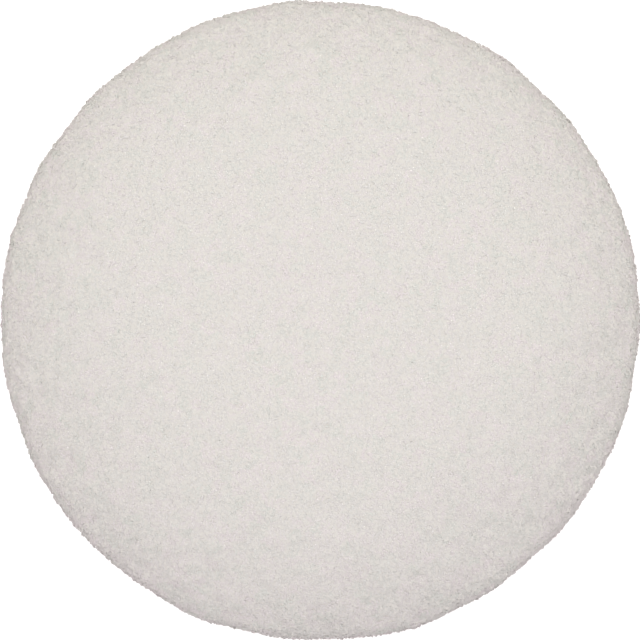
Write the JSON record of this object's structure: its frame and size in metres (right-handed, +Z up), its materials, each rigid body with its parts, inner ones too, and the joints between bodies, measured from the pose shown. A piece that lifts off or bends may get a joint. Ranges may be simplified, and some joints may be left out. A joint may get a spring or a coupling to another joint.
{
  "type": "round throw pillow",
  "caption": "Round stuffed throw pillow in off-white looped-pile cloth, with a crowned face, a sewn seam round the rim and a back pressed flat where it lies.",
  "frame": {"origin": "on the supporting surface, under the middle of the pillow's outline", "axes": "+Z up out of the crowned face; the pillow lies on its back; X and Y are in the plane of the rim seam, and +Y is the top of the picture"},
  "size_m": [0.45, 0.4494, 0.13],
  "materials": {
    "looped_pile": "off-white curly looped pile, matt and soft"
  },
  "bodies": {
    "root": {"cushion": "looped_pile"}
  },
  "joints": []
}
